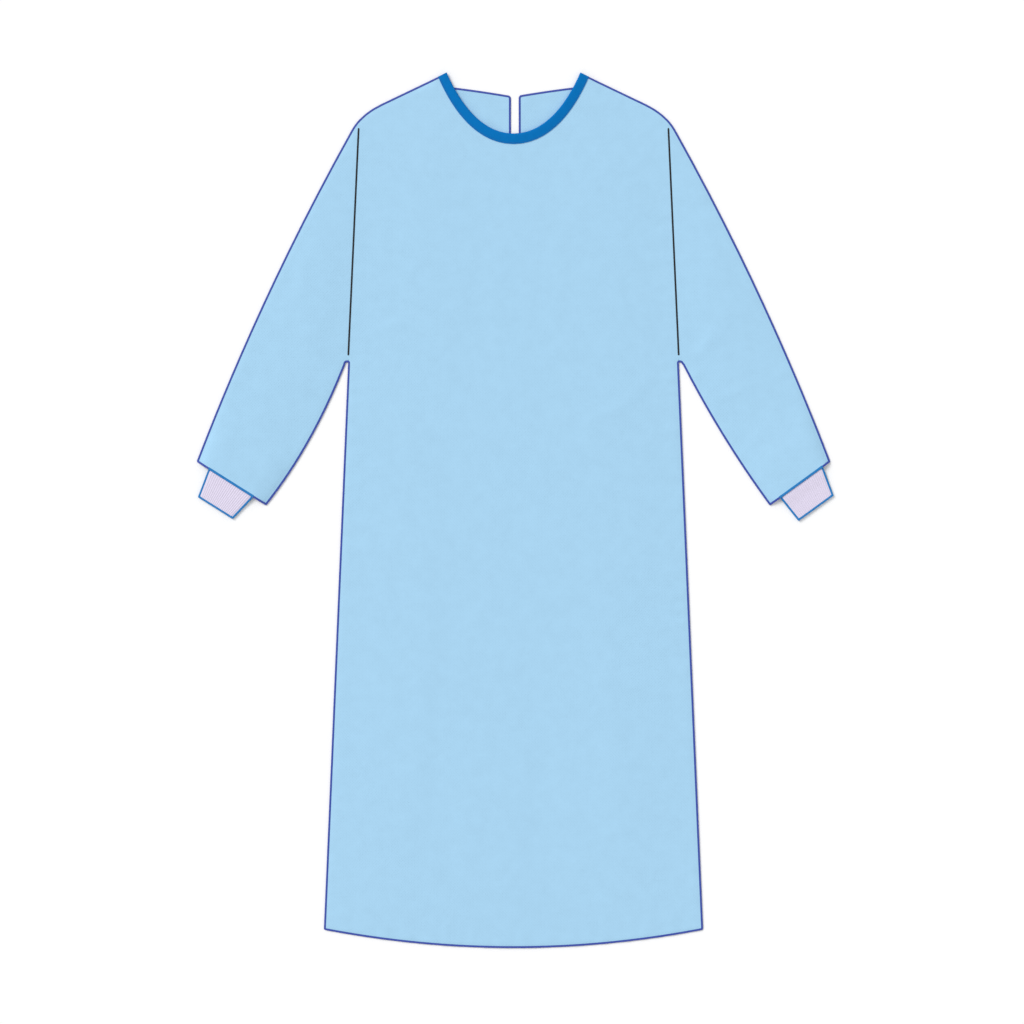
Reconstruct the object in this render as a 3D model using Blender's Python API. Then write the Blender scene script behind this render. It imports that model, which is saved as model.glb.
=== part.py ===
"""A visitor gown laid flat on the floor, front up: one closed wall for each piece that is cut and sewn.

Metres, +Z up, +Y towards the neck, +X to the right as it is seen from above. A place on the gown is
(out, down): the distance out from the centre line, and down from the high point of the shoulders.
The back pieces lie on the floor. The front pieces lie on them, with a little loft between the seams.
"""

import math

import bmesh
import bpy
import numpy as np

# The body, flat
LENGTH = 1.200  # high point of the shoulders to the lowest point of the hem
HEM_HALF_WIDTH = 0.2599
HEM_CURVE = 0.025  # how far the middle of the hem hangs below its corners
BACK_HEM_SHORTER = 0.003  # keeps the back hem out of sight under the front one
UNDERARM = (0.2266, 0.3970)
SHOULDER_SLOPE = 0.4777  # fall of the shoulder for each metre out
SHOULDER_STRAIGHT_TO = 0.1820  # where the straight shoulder starts to round into the sleeve
SHOULDER_BOW = (0.2096, 0.0566)
ARMHOLE_SHARE = 0.65  # how far round the shoulder's rounding the armhole seam meets it

# The neck
NECK_HALF_WIDTH = 0.0912
NECK_DROP = 0.0834
NECK_HANDLES = ((0.0749, 0.0384), (0.0448, NECK_DROP))
BACK_NECK_DROP = 0.0324  # at the centre line, where the two back pieces all but meet
BACK_NECK_SLOPE = 0.1765
BACK_NECK_CURVE = 0.336
BACK_NECK_FROM = 0.083  # out to here the back neck is the gentle curve above, and past it turns up
BACK_NECK_TURN = (0.0880, 0.0195)
BACK_NECK_SHOULDER = 0.0945
BACK_CORNER_RADIUS = 0.004
BACK_EDGE_OUT = {"left": 0.0037, "right": 0.0073}  # the opening lies a little right of the centre

# The sleeves: the overarm seam is the same on both, and the right mouth is a little narrower
OVERARM_TOP = (0.2220, 0.0787)
OVERARM_BOW = (0.3450, 0.2990)
MOUTH_OUTER = (0.4344, 0.5333)
UNDERARM_SEAM = {
    "left": {"top": (0.2310, 0.4005), "bow": (0.2750, 0.5125), "mouth": (0.3392, 0.5932)},
    "right": {"top": (0.2324, 0.4005), "bow": (0.2843, 0.5018), "mouth": (0.3515, 0.5934)},
}
NOTCH = (0.2290, 0.3986)  # middle of the rounded top of the slot between a sleeve and the side
NOTCH_RADIUS = 0.0017

# The cuffs. Aside is how far their middle lies from the mouth's, towards the overarm seam
CUFF_HALF_WIDTH = 0.0364
CUFF_REACH = 0.0404  # how far they come out of the mouth
CUFF_TUCK = 0.028  # how far they run back inside the sleeve, to where they are sewn
CUFFS = {
    "left": {"half_width_at_end": 0.0284, "aside": 0.0007, "aside_at_end": 0.0007},
    "right": {"half_width_at_end": 0.0299, "aside": 0.0023, "aside_at_end": -0.0022},
}
CUFF_WALL = 0.0012
CUFF_HOLLOW = 0.0008
CUFF_SIDE = CUFF_WALL + CUFF_HOLLOW / 2  # radius of the tube's rounded sides
CUFF_RIBS = 22
CUFF_RIB_HEIGHT = 0.0004
CUFF_HEIGHT = 2 * CUFF_SIDE + CUFF_RIB_HEIGHT
CUFF_COMES_DOWN = (0.002, 0.020)  # between these distances past the mouth it comes down to the floor

# Cloth and layers
CLOTH = 0.0012
SEAM_GAP = 0.0003
BINDING_WIDTH = 0.0135
BINDING_WALL = 0.0010
BINDING_HEIGHT = 2 * BINDING_WALL + 2 * SEAM_GAP + CLOTH
RAW_EDGE = BINDING_WALL + 2 * SEAM_GAP  # from the binding's fold to the cloth's edge inside it
FRONT_REST = CLOTH + SEAM_GAP  # height of the front pieces' undersides at the seams
BODY_LOFT = 0.0020
SLEEVE_LOFT = 0.0018
LOFT_RAMP = 0.11  # how far in from a seam or an edge the loft reaches its height
NECK_RISE = BINDING_WALL + SEAM_GAP  # the front lies on the binding's lower leaf
NECK_RISE_TO = 0.025  # this far from the neck edge the rise starts to fade
NECK_RISE_FADE = 0.045
CUFF_RISE = CUFF_HEIGHT + SEAM_GAP
CUFF_RISE_HALF_WIDTH = CUFF_HALF_WIDTH + 0.0015  # where the sleeve starts to fall to its seams
CUFF_RISE_TO = CUFF_TUCK + 0.008  # this far inside the mouth the rise starts to fade
CUFF_RISE_FADE = 0.060

# How finely the curves and the panels are divided
NECKLINE_PIECES = 14  # from a shoulder to the centre line
SHOULDER_PIECES = 5
ROUNDING_PIECES = 3
BACK_NECK_PIECES = 6
TURN_PIECES = 4
ROWS_ABOVE_CHEST = 9
ROWS_BELOW_CHEST = 10
FOLD_PIECES = 6  # round the binding's fold
NOTCH_PIECES = 2
SLEEVE_ROWS = 15
SLEEVE_COLUMNS = {"overarm": 3, "over_cuff": 5, "underarm": 3}
CUFF_SIDE_PIECES = 4
CUFF_BASE_PIECES = 4
CUFF_STEPS_DOWN = 4
CROWDING = 1.5  # power that draws rows together towards the curved end of a panel

SIGNS = {"left": -1.0, "right": 1.0}
FABRICS = {
    "nonwoven": {"colour": "#A8D4F1", "roughness": 0.85},
    "binding_tape": {"colour": "#0A75BB", "roughness": 0.75},
    "rib_knit": {"colour": "#DDD5EA", "roughness": 0.95},
}
SHARP_ANGLE = math.radians(40)


# ---------------------------------------------------------------- curves


def shares(pieces, start=0.0, end=1.0):
    return np.linspace(start, end, pieces + 1)


def bezier(handles, along):
    """Points on the Bezier curve with these handles, at these shares of it."""
    degree = len(handles) - 1
    along = along[:, None]
    return sum(
        math.comb(degree, i) * along**i * (1 - along) ** (degree - i) * np.array(handle)
        for i, handle in enumerate(handles)
    )


def arc(centre, radius, first, last, pieces):
    """Points round a centre, with angles in degrees that turn from outwards to downwards."""
    angle = np.radians(shares(pieces, first, last))
    return np.array(centre) + radius * np.column_stack([np.cos(angle), np.sin(angle)])


def chained(*curves):
    """Curves that follow each other, as one. Each starts where the one before it ends."""
    return np.concatenate([curves[0], *[curve[1:] for curve in curves[1:]]])


def both_sides(half):
    """A curve from a side to the centre line, carried on to the other side."""
    return np.concatenate([half * [-1, 1], half[-2::-1]])


def smooth(share):
    """0 up to 0, 1 from 1, and an even S between."""
    share = np.clip(share, 0.0, 1.0)
    return share * share * (3 - 2 * share)


def unit(vector):
    return vector / np.linalg.norm(vector, axis=-1, keepdims=True)


def shoulder_point(out):
    return (out, (out - NECK_HALF_WIDTH) * SHOULDER_SLOPE)


ROUNDING = (shoulder_point(SHOULDER_STRAIGHT_TO), SHOULDER_BOW, OVERARM_TOP)
ARMHOLE_TOP = bezier(ROUNDING, np.array([ARMHOLE_SHARE]))[0]
NECK_CURVE = ((NECK_HALF_WIDTH, 0.0), *NECK_HANDLES, (0.0, NECK_DROP))
NECKLINE = bezier(NECK_CURVE, shares(NECKLINE_PIECES))


def neckline_normals():
    """At each point of the neckline, the way out of the neck hole. At its top it follows the shoulder."""
    along = np.gradient(NECKLINE, axis=0)
    normals = unit(np.column_stack([along[:, 1], -along[:, 0]]))
    normals[0] = unit(np.array([1.0, SHOULDER_SLOPE]))
    normals[-1] = (0.0, 1.0)
    return normals


def from_neckline(grid):
    """How far each point of the grid is from the finished neck edge."""
    edge = both_sides(NECKLINE)
    start, step = edge[:-1], np.diff(edge, axis=0)
    away = grid[..., None, :] - start
    along = np.clip((away * step).sum(-1) / (step**2).sum(-1), 0, 1)
    return np.linalg.norm(away - along[..., None] * step, axis=-1).min(axis=-1)


# ---------------------------------------------------------------- solids


def fabric(name):
    """A plain Principled material. Its colour is sRGB, made linear for the shader."""
    code = FABRICS[name]["colour"]
    values = [int(code[i : i + 2], 16) / 255 for i in (1, 3, 5)]
    linear = [v / 12.92 if v <= 0.04045 else ((v + 0.055) / 1.055) ** 2.4 for v in values]
    made = bpy.data.materials.new(name)
    made.use_nodes = True
    shader = made.node_tree.nodes["Principled BSDF"]
    shader.inputs["Base Color"].default_value = (*linear, 1.0)
    shader.inputs["Roughness"].default_value = FABRICS[name]["roughness"]
    shader.inputs["Metallic"].default_value = 0.0
    return made


def wall(name, under, over, material, around=False):
    """A closed wall between two grids of points. With around, each row of the grids is a ring."""
    rows, columns = under.shape[:2]
    spans = range(columns if around else columns - 1)
    shape = bmesh.new()
    skins = [
        [[shape.verts.new(point) for point in row] for row in grid] for grid in (under, over)
    ]

    def quad(*corners):
        shape.faces.new([skins[skin][row][column % columns] for skin, row, column in corners])

    for row in range(rows - 1):
        for column in spans:
            for skin in (0, 1):
                near, far = (skin, row, column), (skin, row + 1, column)
                quad(near, (skin, row, column + 1), (skin, row + 1, column + 1), far)
    for row in (0, rows - 1):
        for column in spans:
            quad((0, row, column), (0, row, column + 1), (1, row, column + 1), (1, row, column))
    if not around:
        for column in (0, columns - 1):
            for row in range(rows - 1):
                quad((0, row, column), (0, row + 1, column), (1, row + 1, column), (1, row, column))
    bmesh.ops.recalc_face_normals(shape, faces=shape.faces)
    mesh = bpy.data.meshes.new(name)
    shape.to_mesh(mesh)
    shape.free()
    mesh.shade_smooth()
    mesh.set_sharp_from_angle(angle=SHARP_ANGLE)
    mesh.materials.append(material)
    piece = bpy.data.objects.new(name, mesh)
    bpy.context.scene.collection.objects.link(piece)
    return piece


def placed(grid, heights):
    """A grid of (out, down) with its heights, as points in the gown's own frame."""
    return np.dstack([grid[..., 0], LENGTH / 2 - grid[..., 1], heights])


def panel(name, grid, undersides, material):
    """A panel of the gown's cloth over this grid, with its underside at these heights."""
    heights = np.broadcast_to(undersides, grid.shape[:2])
    return wall(name, placed(grid, heights), placed(grid, heights + CLOTH), material)


def loft(grid):
    """0 along the four edges of the grid, where it is sewn or lies down, and 1 well inside them."""
    share = np.ones(grid.shape[:2])
    for edge in (grid[:1], grid[-1:], grid[:, :1], grid[:, -1:]):
        share *= smooth(np.linalg.norm(grid - edge, axis=-1) / LOFT_RAMP)
    return share


# ---------------------------------------------------------------- body


def shoulder_edge(neck_out):
    """The body's top edge from the armhole to the neck."""
    rounded = bezier(ROUNDING, shares(ROUNDING_PIECES, ARMHOLE_SHARE, 0.0))
    straight = bezier((ROUNDING[0], shoulder_point(neck_out)), shares(SHOULDER_PIECES))
    return chained(rounded, straight)


def body_grid(top, hem_shorter=0.0):
    """Points from this top edge down to the hem, in columns that fan out with the gown."""
    share = top[:, 0] / ARMHOLE_TOP[0]
    chest = np.column_stack([share * UNDERARM[0], np.full(len(top), UNDERARM[1])])
    hem_down = LENGTH - hem_shorter - HEM_CURVE * share**2
    hem = np.column_stack([share * HEM_HALF_WIDTH, hem_down])
    above = (shares(ROWS_ABOVE_CHEST) ** CROWDING)[:, None, None]
    below = shares(ROWS_BELOW_CHEST)[1:, None, None]
    return np.concatenate([top + (chest - top) * above, chest + (hem - chest) * below])


def front_panel(material):
    raw_neck = NECKLINE + RAW_EDGE * neckline_normals()
    grid = body_grid(both_sides(chained(shoulder_edge(raw_neck[0, 0]), raw_neck)))
    away = from_neckline(grid)
    rise = 1 - smooth((away - NECK_RISE_TO) / NECK_RISE_FADE)
    lofted = loft(grid) * smooth(away / LOFT_RAMP)
    undersides = FRONT_REST + BODY_LOFT * lofted + NECK_RISE * rise
    return panel("front_panel", grid, undersides, material)


def back_panel(side, material):
    """Half of the back, flat on the floor. Its edge at the opening is rounded off at the neck."""
    opening = BACK_EDGE_OUT[side]
    out = shares(BACK_NECK_PIECES, BACK_NECK_FROM, opening + BACK_CORNER_RADIUS)
    down = BACK_NECK_DROP - BACK_NECK_SLOPE * out + BACK_NECK_CURVE * out**2
    neck = np.column_stack([out, down])
    shoulder = shoulder_edge(BACK_NECK_SHOULDER)
    turn = bezier((shoulder[-1], BACK_NECK_TURN, neck[0]), shares(TURN_PIECES))
    corner = arc(neck[-1] + [0, BACK_CORNER_RADIUS], BACK_CORNER_RADIUS, 270, 180, TURN_PIECES)
    grid = body_grid(chained(shoulder, turn, neck, corner), BACK_HEM_SHORTER)
    return panel(f"back_panel_{side}", grid * [SIGNS[side], 1], 0.0, material)


def neck_binding(material):
    """A strip folded round the front neck edge, with a leaf under the front panel and one on it."""
    edge, normals = both_sides(NECKLINE), both_sides(neckline_normals())

    def swept(radius):
        middle = BINDING_HEIGHT / 2
        turn = np.radians(shares(FOLD_PIECES, 270, 90))
        away = np.array([BINDING_WIDTH, *(middle + radius * np.cos(turn)), BINDING_WIDTH])
        height = np.array([middle - radius, *(middle + radius * np.sin(turn)), middle + radius])
        grid = edge[:, None] + normals[:, None] * away[:, None]
        return placed(grid, np.broadcast_to(FRONT_REST + height, grid.shape[:2]))

    outer = BINDING_HEIGHT / 2
    return wall("neck_binding", swept(outer - BINDING_WALL), swept(outer), material)


# ---------------------------------------------------------------- sleeves and cuffs


def mouth_frame(side):
    """Where a cuff's middle leaves the mouth, and the way straight out of it."""
    outer, inner = np.array(MOUTH_OUTER), np.array(UNDERARM_SEAM[side]["mouth"])
    along = unit(outer - inner)
    outwards = np.array([-along[1], along[0]])
    return (outer + inner) / 2 + CUFFS[side]["aside"] * along, outwards


def over_cuff(side):
    """The shares of the sleeve's width, from the overarm seam, between which it lies over the cuff."""
    width = np.linalg.norm(np.array(MOUTH_OUTER) - UNDERARM_SEAM[side]["mouth"])
    middle = 0.5 - CUFFS[side]["aside"] / width
    return middle - CUFF_RISE_HALF_WIDTH / width, middle + CUFF_RISE_HALF_WIDTH / width


def sleeve_grid(side):
    """Rows of points from the overarm seam to the underarm seam, armhole first, and their shares across."""
    seam = UNDERARM_SEAM[side]
    closer_to_mouth = 1 - (1 - shares(SLEEVE_ROWS)) ** CROWDING
    notch = arc(NOTCH, NOTCH_RADIUS, 270, 360, NOTCH_PIECES)
    overarm = chained(
        bezier(ROUNDING, shares(len(notch) + 1, ARMHOLE_SHARE, 1.0)),
        bezier((OVERARM_TOP, OVERARM_BOW, MOUTH_OUTER), closer_to_mouth),
    )
    underarm_seam = bezier((seam["top"], seam["bow"], seam["mouth"]), closer_to_mouth)
    underarm = np.concatenate([[UNDERARM], notch, underarm_seam])
    stops = (0.0, *over_cuff(side), 1.0)
    spans = zip(SLEEVE_COLUMNS.values(), stops[:-1], stops[1:])
    across = chained(*[shares(columns, start, end) for columns, start, end in spans])
    grid = overarm[:, None] + (underarm - overarm)[:, None] * across[:, None]
    grid[0, :, 0] += SEAM_GAP
    return grid, across


def sleeve_front(side, material):
    """The sleeve's upper half, which lies over the cuff at its mouth."""
    grid, across = sleeve_grid(side)
    near, far = over_cuff(side)
    middle, outwards = mouth_frame(side)
    inside = (middle - grid) @ outwards
    rise = 1 - smooth((inside - CUFF_RISE_TO) / CUFF_RISE_FADE)
    rise = rise * smooth(across / near) * smooth((1 - across) / (1 - far))
    undersides = FRONT_REST + SLEEVE_LOFT * loft(grid) + CUFF_RISE * rise
    return panel(f"sleeve_front_{side}", grid * [SIGNS[side], 1], undersides, material)


def sleeve_back(side, material):
    grid, _ = sleeve_grid(side)
    return panel(f"sleeve_back_{side}", grid * [SIGNS[side], 1], 0.0, material)


def level_line(pieces, start, end, height):
    return np.column_stack([shares(pieces, start, end), np.full(pieces + 1, height)])


def cuff_ring(half_width, radius, rib_height):
    """Round a flattened tube, as (across, height): a side, the ribbed top, the other side, the plain base."""
    flat = half_width - CUFF_SIDE
    turn = np.radians(shares(CUFF_SIDE_PIECES, -90, 90))
    side = np.column_stack([flat + radius * np.cos(turn), CUFF_SIDE + radius * np.sin(turn)])
    top = level_line(2 * CUFF_RIBS, flat, -flat, CUFF_SIDE + radius)
    top[1::2, 1] += rib_height
    base = level_line(CUFF_BASE_PIECES, -flat, flat, CUFF_SIDE - radius)
    return np.concatenate([side, top[1:-1], side[::-1] * [-1, 1], base[1:-1]])


def cuff(side, material):
    """A ribbed tube, modelled along +Y from the mouth and then turned to it."""
    sizes = CUFFS[side]
    middle, outwards = mouth_frame(side)
    start_down, end_down = CUFF_COMES_DOWN
    inner, outer = [], []
    for out in (-CUFF_TUCK, *shares(CUFF_STEPS_DOWN, start_down, end_down), CUFF_REACH):
        share = max(out, 0.0) / CUFF_REACH
        half_width = CUFF_HALF_WIDTH + (sizes["half_width_at_end"] - CUFF_HALF_WIDTH) * share
        aside = -SIGNS[side] * (sizes["aside_at_end"] - sizes["aside"]) * share
        base = FRONT_REST * (1 - smooth((out - start_down) / (end_down - start_down)))
        for rings, radius, rib_height in (
            (inner, CUFF_SIDE - CUFF_WALL, 0.0),
            (outer, CUFF_SIDE, CUFF_RIB_HEIGHT),
        ):
            ring = cuff_ring(half_width, radius, rib_height)
            rings.append([(across + aside, out, base + height) for across, height in ring])
    piece = wall(f"cuff_{side}", np.array(inner), np.array(outer), material, around=True)
    piece.location = (SIGNS[side] * middle[0], LENGTH / 2 - middle[1], 0.0)
    piece.rotation_euler.z = math.atan2(-SIGNS[side] * outwards[0], -outwards[1])
    return piece


def main():
    for old in list(bpy.data.objects):
        bpy.data.objects.remove(old)
    nonwoven, tape, knit = (fabric(name) for name in FABRICS)
    pieces = [front_panel(nonwoven), neck_binding(tape)]
    for side in SIGNS:
        pieces += [
            back_panel(side, nonwoven),
            sleeve_front(side, nonwoven),
            sleeve_back(side, nonwoven),
            cuff(side, knit),
        ]
    gown = bpy.data.objects.new("visitor_gown", None)
    bpy.context.scene.collection.objects.link(gown)
    for piece in pieces:
        piece.parent = gown


main()
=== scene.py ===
"""The looks of a visitor gown that lies flat on a pale floor, front up.

Every piece is worked out from the frame's own nodes: the edge of each panel gives its cloth and the
threads along it, and the node's underside gives the height at which the cloth lies. The panel in the
3D view's sidebar lists the sizes and colours, and one operator for each group of pieces.
"""

import math

import bpy
import numpy as np
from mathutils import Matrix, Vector
from mathutils.bvhtree import BVHTree
from mathutils.geometry import delaunay_2d_cdt
from mathutils.kdtree import KDTree


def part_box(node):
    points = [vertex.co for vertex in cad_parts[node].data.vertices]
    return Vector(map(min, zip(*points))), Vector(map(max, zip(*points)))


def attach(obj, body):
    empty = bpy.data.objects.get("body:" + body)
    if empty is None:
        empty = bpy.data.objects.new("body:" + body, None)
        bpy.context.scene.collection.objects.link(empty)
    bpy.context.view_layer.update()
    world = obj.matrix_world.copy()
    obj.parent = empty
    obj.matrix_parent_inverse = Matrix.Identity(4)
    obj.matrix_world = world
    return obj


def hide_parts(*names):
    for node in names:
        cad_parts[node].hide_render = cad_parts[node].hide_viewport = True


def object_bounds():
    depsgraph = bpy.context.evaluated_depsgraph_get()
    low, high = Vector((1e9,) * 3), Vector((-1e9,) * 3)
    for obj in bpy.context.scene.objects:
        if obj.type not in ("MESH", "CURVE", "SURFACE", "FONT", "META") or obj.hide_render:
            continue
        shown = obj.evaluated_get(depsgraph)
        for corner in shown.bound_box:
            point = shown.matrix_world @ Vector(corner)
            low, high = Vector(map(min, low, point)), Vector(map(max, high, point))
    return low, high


bl_info = {
    "name": "Visitor gown, laid flat",
    "version": (1, 0, 0),
    "blender": (4, 5, 0),
    "location": "3D View > Sidebar > Gown",
    "description": "Cloth, threads, binding and cuffs of a visitor gown, round its CAD frame",
    "category": "Object",
}

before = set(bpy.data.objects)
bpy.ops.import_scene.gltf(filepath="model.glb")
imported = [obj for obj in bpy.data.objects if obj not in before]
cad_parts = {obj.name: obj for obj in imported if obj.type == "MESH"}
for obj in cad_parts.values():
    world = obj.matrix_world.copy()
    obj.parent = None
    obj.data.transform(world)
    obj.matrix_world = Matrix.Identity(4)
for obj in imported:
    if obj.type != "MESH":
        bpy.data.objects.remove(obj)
CAD_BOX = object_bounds()

SIDES = {"left": -1.0, "right": 1.0}
FLOOR_DROP = 0.0002  # keeps the floor clear of the cloth's underside
UP = Vector((0, 0, 1))
MEASURE_STEP = 0.001  # between the points of a line that only distances are measured from

# Cloth
EDGE_INSET = 0.0005  # the cloth ends this far inside its thread
EDGE_SPACING = 0.0030
FINE_SPACING = 0.0034
COARSE_SPACING = 0.0068
FINE_BAND = 0.040  # as far in as the seams' puckers reach
LEAST_TO_EDGE = 0.7  # share of the spacing that a point keeps to the edge
MOST_MITRE = 2.0  # a corner of the inset edge moves in by at most this many times the inset
SAME_PLACE = 1e-7  # points of the cloth this close are one
SLIVER = 4e-9  # twice the area, in square metres, up to which a triangle of the cloth is left out
SMOOTH_PASSES = 12
PUCKER_RISE = 0.25  # share of their reach in which the puckers rise from the thread
PUCKER_SEEDS = {
    "front_panel": 3, "sleeve_front_left": 20, "sleeve_front_right": 21, "sleeve_back_left": 30,
    "sleeve_back_right": 31, "back_panel_left": 40, "back_panel_right": 41,
}
LIFT_REACH = 0.012  # the back pieces rise off the floor this far in from their threads
SEAM_REST = 0.0009  # height of a front piece's underside at its seams
SEAM_REACH = 0.008
HEM_REST = 0.0005  # height of the front's underside at its hem
HEM_REACH = 0.004
TAPE_REACH = 0.0125  # the neck tape lies over the front this far out from the neckline
TAPE_FADE = 0.016
RIPPLE_WAVES = 14
SHARP_ANGLE = math.radians(40)
UPWARDS = math.sin(math.radians(20))  # a solid's face is on its upper side if its normal rises by more

# Creases in the front pieces: from one place to another, their middle moved aside by the
# bow, with the height of the ridge (or the depth of the trough, below 0) and its half width
CREASE_COLUMNS = ("start", "end", "bow", "height", "half_width")
CREASE_POINTS = 25
CREASE_FADE = 0.8  # power of the arch by which a crease dies away towards its ends
CREASES = {
    "front_panel": (
        ((0.196, 0.190), (0.092, 0.118), 0.010, 0.00075, 0.0100),
        ((-0.200, 0.186), (-0.108, 0.090), -0.012, 0.00080, 0.0110),
        ((-0.204, 0.236), (-0.128, 0.262), 0.006, 0.00060, 0.0080),
        ((0.206, 0.246), (0.140, 0.292), -0.006, 0.00055, 0.0085),
        ((-0.118, 0.020), (-0.154, -0.470), 0.014, 0.00060, 0.0190),
        ((0.126, -0.060), (0.168, -0.520), -0.016, 0.00065, 0.0210),
        ((0.020, -0.180), (0.034, -0.585), 0.010, -0.00060, 0.0230),
        ((-0.046, 0.380), (-0.070, 0.150), 0.008, -0.00045, 0.0170),
        ((0.062, 0.402), (0.082, 0.196), -0.008, 0.00045, 0.0150),
        ((-0.052, -0.300), (-0.066, -0.590), -0.006, 0.00050, 0.0160),
    ),
    "sleeve_front_left": (
        ((-0.236, 0.210), (-0.300, 0.262), 0.006, 0.00075, 0.0080),
        ((-0.262, 0.160), (-0.330, 0.196), 0.005, 0.00070, 0.0085),
        ((-0.300, 0.100), (-0.352, 0.142), -0.004, 0.00050, 0.0070),
        ((-0.268, 0.400), (-0.330, 0.240), 0.009, 0.00050, 0.0120),
    ),
    "sleeve_front_right": (
        ((0.238, 0.206), (0.296, 0.270), -0.006, 0.00080, 0.0085),
        ((0.270, 0.150), (0.334, 0.180), -0.005, 0.00060, 0.0080),
        ((0.318, 0.078), (0.372, 0.132), 0.005, 0.00055, 0.0075),
        ((0.262, 0.410), (0.318, 0.262), -0.009, 0.00045, 0.0115),
    ),
}

# Threads
THREAD_SIDES = 8
NEEDLE_SIDES = 5
SAMPLES_A_STITCH = 4
EVEN_PASSES = 2
LONG_PASSES = 50  # for the long edges that have no tight turn
HEIGHT_PASSES = 20
THREAD_SQUARENESS = 0.7  # below 1 a thread bead's section is fuller than an ellipse
INNER_SCALLOP = 0.3  # how deep the bead's scallops are on its inner side, of those on its outer side
TIP_LENGTH = 0.0012  # a run of thread rounds off to its tip over this length
LEAST_TIP = 0.02  # share of the bead's section at its very tip
GROOVE_POWER = 1.6  # above 1, the grooves between a bead's ridges are narrower than the ridges
NEEDLE_WIDTH = 0.0007


# ---------------------------------------------------------------- settings


def linear(code):
    """The linear colour of an sRGB hex value."""
    values = [int(code[i : i + 2], 16) / 255 for i in (1, 3, 5)]
    return tuple(v / 12.92 if v <= 0.04045 else ((v + 0.055) / 1.055) ** 2.4 for v in values)


def length(name, description, default):
    return bpy.props.FloatProperty(
        name=name, description=description, default=default, min=0.0, precision=5,
        subtype="DISTANCE", unit="LENGTH",
    )


def colour(name, description, code):
    return bpy.props.FloatVectorProperty(
        name=name, description=description, default=linear(code), size=3, min=0.0, max=1.0,
        subtype="COLOR",
    )


class GownCloth(bpy.types.PropertyGroup):
    """The nonwoven cloth of the body and the sleeves"""

    colour: colour("Colour", "Colour of the nonwoven", "#A8D4F1")
    thickness: length("Thickness", "Thickness of the cloth", 0.0005)
    bond_pitch: length("Bond pitch", "Distance between the points that bond the fibres", 0.0028)
    wander: length("Lattice wander", "How far the bonds wander off their lattice", 0.0016)
    wander_length: length("Wander length", "Distance over which the lattice wanders", 0.014)
    clump_size: length("Clump size", "Size of the cloudy clumps of fibre", 0.018)
    fibre_width: length("Fibre width", "Width of the strands of fibre", 0.0009)
    pucker_height: length("Pucker height", "Height of the puckers along the threads", 0.00038)
    pucker_shortest: length("Shortest pucker", "Length of the closest puckers", 0.015)
    pucker_longest: length("Longest pucker", "Length of the widest puckers", 0.046)
    pucker_reach: length("Pucker reach", "How far the puckers run in from the thread", 0.026)
    edge_lift: length("Edge lift", "Height of the back pieces' edges off the floor", 0.0003)


class GownThreads(bpy.types.PropertyGroup):
    """The threads that bind the edges and join the pieces"""

    overlock_colour: colour("Overlock", "Thread along every edge of the cloth", "#374BA6")
    cuff_colour: colour("Cuff thread", "Thread round the cuffs and where they join", "#187ABF")
    # Near-black: the armhole seam's real thread, painted as dark as the shade in the seam's groove
    armhole_colour: colour("Armhole thread", "Thread of the armhole seams", "#17171B")
    width: length("Overlock width", "Width of the overlocked edge", 0.0029)
    over_cloth: length("Over the cloth", "How far the overlock stands off the cloth", 0.0004)
    proud: length("Proud of the edge", "How far the overlock stands out past the cut", 0.0003)
    pitch: length("Thread pitch", "Distance between the threads that cross the edge", 0.0019)
    needle_pitch: length("Stitch length", "Length of one stitch of the needle's line", 0.0036)
    armhole_width: length("Armhole width", "Width of the armhole's flat seam", 0.0027)
    armhole_from: length("Armhole gap, top", "Bare seam above the armhole's thread", 0.0114)
    armhole_to: length("Armhole gap, bottom", "Bare seam below the armhole's thread", 0.0092)
    mouth_width: length("Cuff seam width", "Width of the seam that joins a cuff", 0.0038)


class GownBinding(bpy.types.PropertyGroup):
    """The strip folded round the front neck edge"""

    colour: colour("Colour", "Colour of the binding tape", "#0373BE")
    stitch_colour: colour("Stitch", "Thread of the binding's edge stitch", "#0A68AE")
    thickness: length("Thickness", "Thickness of the tape", 0.0006)
    weave_pitch: length("Weave pitch", "Distance between the tape's yarns", 0.0011)
    stitch_in: length("Stitch from edge", "Distance of the edge stitch from the tape's edge", 0.0017)
    stitch_length: length("Stitch length", "Length of one stitch", 0.0032)


class GownCuffs(bpy.types.PropertyGroup):
    """The knitted cuffs"""

    colour: colour("Colour", "Colour of the rib knit", "#DDD5EA")
    wall: length("Wall", "Thickness of the knit between its ribs", 0.0009)
    rib_height: length("Rib height", "Height of a rib", 0.0005)
    row_height: length("Row height", "Height of one row of knitting", 0.0017)


class GownStage(bpy.types.PropertyGroup):
    """The floor, the light and the camera"""

    floor_colour: colour("Floor", "Colour of the floor", "#FEFEFE")
    ambient: bpy.props.FloatProperty(
        name="Ambient", description="Strength of the light from all round", default=0.66, min=0.0
    )
    key_strength: bpy.props.FloatProperty(
        name="Key", description="Strength of the broad far lamp", default=1.75, min=0.0
    )
    key_width: bpy.props.FloatProperty(
        name="Key width", description="Angle that the lamp takes up, seen from the gown",
        default=math.radians(28), min=0.0, subtype="ANGLE", unit="ROTATION",
    )
    lens: bpy.props.FloatProperty(
        name="Lens", description="Focal length of the camera", default=85.0, min=1.0,
        subtype="DISTANCE_CAMERA", unit="CAMERA",
    )


# ---------------------------------------------------------------- lines


def unit(vectors):
    return vectors / np.maximum(np.linalg.norm(vectors, axis=-1, keepdims=True), 1e-12)


def smooth(share):
    """0 up to 0, 1 from 1, and an even S between."""
    share = np.clip(share, 0.0, 1.0)
    return share * share * (3 - 2 * share)


def distances(line):
    """How far along the line each of its points is."""
    return np.concatenate([[0.0], np.cumsum(np.linalg.norm(np.diff(line, axis=0), axis=1))])


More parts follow.
